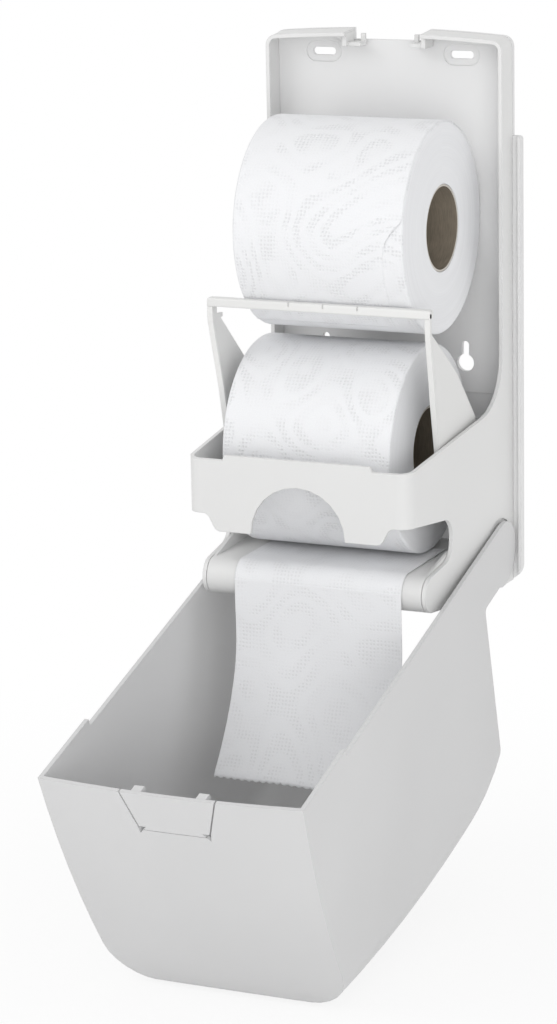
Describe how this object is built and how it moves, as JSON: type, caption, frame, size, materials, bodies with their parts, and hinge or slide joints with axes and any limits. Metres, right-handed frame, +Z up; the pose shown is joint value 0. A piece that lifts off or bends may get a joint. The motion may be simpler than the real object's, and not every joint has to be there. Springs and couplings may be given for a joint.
{
  "type": "double roll toilet paper dispenser",
  "caption": "Wall-hung washroom dispenser holding one toilet roll above another, with its deep front cover hinged open and a paper end hanging over the guide nose.",
  "frame": {"origin": "middle of the back plate's flat wall face", "axes": "+X to the right of someone facing the dispenser, +Y into the wall, +Z up"},
  "size_m": [0.1516, 0.3092, 0.4792],
  "materials": {
    "frame_plastic": "fine satin, light warm grey",
    "cover_plastic": "fine satin, light grey",
    "flap_plastic": "satin, slightly paler than the frame",
    "tissue_paper": "soft embossed tissue",
    "core_card": "plain brown card",
    "screw_steel": "zinc-plated steel"
  },
  "bodies": {
    "housing": {"back_plate": "frame_plastic", "roll_frame": "frame_plastic", "guide_chute": "frame_plastic", "frame_screw_low_left": "screw_steel", "frame_screw_low_right": "screw_steel", "frame_screw_high_left": "screw_steel", "frame_screw_high_right": "screw_steel", "cover_pin_left": "frame_plastic", "cover_pin_right": "frame_plastic", "flap_pin_left": "frame_plastic", "flap_pin_right": "frame_plastic", "paper_lead": "tissue_paper", "paper_tail": "tissue_paper"},
    "cover": {"cover_shell": "cover_plastic"},
    "tongue": {"latch_tongue": "cover_plastic"},
    "roll_flap": {"flap": "flap_plastic"},
    "upper_roll": {"upper_roll_tissue": "tissue_paper", "upper_roll_core": "core_card"},
    "lower_roll": {"lower_roll_tissue": "tissue_paper", "lower_roll_core": "core_card"}
  },
  "joints": [
    {"name": "cover_hinge", "type": "hinge", "parent": "housing", "child": "cover", "pos_m": [0, -0.0233, -0.1345], "axis": [-1, 0, 0], "range_deg": [0, 106.6], "deforming": ["paper_tail"]},
    {"name": "tongue_bend", "type": "hinge", "parent": "cover", "child": "tongue", "pos_m": [0, -0.3002, -0.2183], "axis": [1, 0, 0], "range_deg": [0, 12], "stiffness_Nm_per_rad": 0.6},
    {"name": "flap_hinge", "type": "hinge", "parent": "housing", "child": "roll_flap", "pos_m": [0, -0.052, -0.076], "axis": [1, 0, 0], "range_deg": [0, 23]},
    {"name": "upper_roll_spin", "type": "hinge", "parent": "housing", "child": "upper_roll", "pos_m": [0, -0.061, 0.054], "axis": [1, 0, 0], "continuous": true},
    {"name": "lower_roll_spin", "type": "hinge", "parent": "housing", "child": "lower_roll", "pos_m": [0, -0.0677, -0.0664], "axis": [1, 0, 0], "continuous": true}
  ]
}
